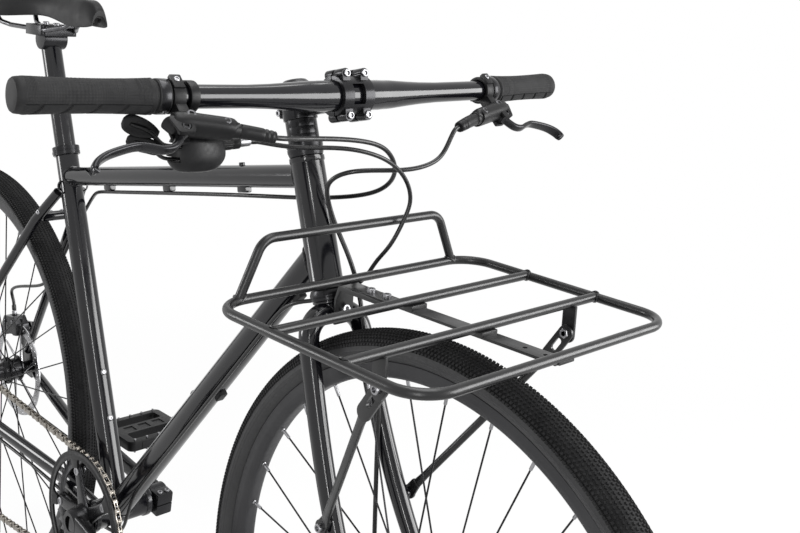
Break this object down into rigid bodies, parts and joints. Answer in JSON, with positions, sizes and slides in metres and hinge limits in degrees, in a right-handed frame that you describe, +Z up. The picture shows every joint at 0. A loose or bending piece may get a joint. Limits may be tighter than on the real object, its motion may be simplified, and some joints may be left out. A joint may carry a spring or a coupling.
{
  "type": "city bicycle",
  "caption": "Rigid city bicycle with flat handlebar, front carrier, disc brakes and derailleur drivetrain.",
  "frame": {"origin": "on the ground, midway between the two axles, in the bicycle's middle plane", "axes": "+X forwards, +Y to the rider's left, +Z up"},
  "size_m": [1.7308, 0.6816, 0.9927],
  "materials": {
    "frame_paint": "gloss black paint",
    "black_alloy": "black anodised, satin",
    "rim_alloy": "black, matt",
    "rack_coat": "satin black powder coat",
    "steel": "plated steel",
    "chain": "plated steel, bronze cast",
    "black_plastic": "matt black",
    "grip_rubber": "matt, patterned",
    "tyre": "matt rubber with a file tread",
    "saddle_cover": "black synthetic cover",
    "hose": "smooth black jacket"
  },
  "bodies": {
    "frame": {"head_tube": "frame_paint", "headset_lower": "black_alloy", "headset_upper": "black_alloy", "top_tube": "frame_paint", "down_tube": "frame_paint", "seat_tube": "frame_paint", "bottom_bracket": "frame_paint", "chainstay_right": "frame_paint", "chainstay_left": "frame_paint", "seatstay_right": "frame_paint", "seatstay_left": "frame_paint", "stay_bridge": "frame_paint", "seat_collar": "black_alloy", "rear_axle": "steel", "rear_caliper": "black_alloy", "derailleur_body": "black_plastic", "chain": "chain", "rear_brake_hose": "hose", "shift_housing": "hose"},
    "seat": {"seatpost": "black_alloy", "seat_clamp": "black_alloy", "saddle_base": "black_plastic", "saddle_cover": "saddle_cover"},
    "steered": {"fork": "frame_paint", "steerer_spacers": "black_alloy", "top_cap": "black_alloy", "stem": "black_alloy", "stem_faceplate": "black_alloy", "handlebar": "black_alloy", "grip_right": "grip_rubber", "grip_left": "grip_rubber", "brake_body_right": "black_plastic", "brake_body_left": "black_plastic", "shifter_body": "black_plastic", "rack": "rack_coat", "rack_spine": "rack_coat", "rack_strut_right": "rack_coat", "rack_strut_left": "rack_coat", "front_axle": "steel", "front_caliper": "black_alloy", "front_brake_hose": "hose"},
    "front_wheel": {"front_tyre": "tyre", "front_rim": "rim_alloy", "front_hub": "rim_alloy"},
    "rear_wheel": {"rear_tyre": "tyre", "rear_rim": "rim_alloy", "rear_hub": "rim_alloy"},
    "cranks": {"crank_right": "black_alloy", "crank_left": "black_alloy", "chainring": "steel"},
    "right_pedal": {"pedal_right": "black_plastic"},
    "left_pedal": {"pedal_left": "black_plastic"},
    "sprockets": {"cassette": "steel"},
    "cage": {"derailleur_cage": "black_alloy"},
    "guide_pulley": {"jockey_upper": "black_plastic"},
    "tension_pulley": {"jockey_lower": "black_plastic"},
    "right_lever": {"lever_right": "black_alloy"},
    "left_lever": {"lever_left": "black_alloy"},
    "upper_shift_lever": {"shift_lever_upper": "black_plastic"},
    "lower_shift_lever": {"shift_lever_lower": "black_plastic"}
  },
  "joints": [
    {"name": "steering", "type": "hinge", "parent": "frame", "child": "steered", "pos_m": [0.32011, 0, 0.7576], "axis": [-0.3246, 0, 0.9459], "range_deg": [-50, 50], "deforming": ["rear_brake_hose", "shift_housing"]},
    {"name": "front_wheel_spin", "type": "hinge", "parent": "steered", "child": "front_wheel", "pos_m": [0.5164, 0, 0.3492], "axis": [0, 1, 0], "continuous": true},
    {"name": "rear_wheel_spin", "type": "hinge", "parent": "frame", "child": "rear_wheel", "pos_m": [-0.5164, 0, 0.3492], "axis": [0, 1, 0], "continuous": true},
    {"name": "crank_spin", "type": "hinge", "parent": "frame", "child": "cranks", "pos_m": [-0.0866, 0, 0.2856], "axis": [0, 1, 0], "continuous": true, "deforming": ["chain"]},
    {"name": "pedal_right_spin", "type": "hinge", "parent": "cranks", "child": "right_pedal", "pos_m": [0.08213, -0.136, 0.26488], "axis": [0, 1, 0], "continuous": true},
    {"name": "pedal_left_spin", "type": "hinge", "parent": "cranks", "child": "left_pedal", "pos_m": [-0.25533, 0.136, 0.30632], "axis": [0, 1, 0], "continuous": true},
    {"name": "sprocket_spin", "type": "hinge", "parent": "frame", "child": "sprockets", "pos_m": [-0.5164, 0, 0.3492], "axis": [0, 1, 0], "continuous": true},
    {"name": "cage_swing", "type": "hinge", "parent": "frame", "child": "cage", "pos_m": [-0.5, -0.0487, 0.262], "axis": [0, 1, 0], "range_deg": [-25, 15], "stiffness_Nm_per_rad": 0.4, "deforming": ["chain"]},
    {"name": "guide_pulley_spin", "type": "hinge", "parent": "cage", "child": "guide_pulley", "pos_m": [-0.5, -0.0435, 0.262], "axis": [0, 1, 0], "continuous": true},
    {"name": "tension_pulley_spin", "type": "hinge", "parent": "cage", "child": "tension_pulley", "pos_m": [-0.4802, -0.0435, 0.18863], "axis": [0, 1, 0], "continuous": true},
    {"name": "brake_lever_right", "type": "hinge", "parent": "steered", "child": "right_lever", "pos_m": [0.38227, -0.20896, 0.88931], "axis": [0.6936, -0.055, 0.7183], "range_deg": [-15, 0], "stiffness_Nm_per_rad": 0.8, "springref_deg": 6.88},
    {"name": "brake_lever_left", "type": "hinge", "parent": "steered", "child": "left_lever", "pos_m": [0.38227, 0.20896, 0.88931], "axis": [0.6936, 0.055, 0.7183], "range_deg": [0, 15], "stiffness_Nm_per_rad": 0.8, "springref_deg": -6.88},
    {"name": "shift_up", "type": "hinge", "parent": "steered", "child": "upper_shift_lever", "pos_m": [0.364, -0.1926, 0.8751], "axis": [0, 0, 1], "range_deg": [0, 20], "stiffness_Nm_per_rad": 0.1, "springref_deg": -5.73},
    {"name": "shift_down", "type": "hinge", "parent": "steered", "child": "lower_shift_lever", "pos_m": [0.364, -0.1926, 0.8631], "axis": [0, 0, 1], "range_deg": [0, 15], "stiffness_Nm_per_rad": 0.1, "springref_deg": -5.73},
    {"name": "seat_height", "type": "slide", "parent": "frame", "child": "seat", "axis": [-0.3289, 0, 0.9444], "range_m": [-0.1, 0.03]}
  ],
  "couplings": [
    {"joint": "sprocket_spin", "follows": "crank_spin", "ratio": 2},
    {"joint": "guide_pulley_spin", "follows": "crank_spin", "ratio": -3.8182},
    {"joint": "tension_pulley_spin", "follows": "crank_spin", "ratio": 3.8182}
  ]
}
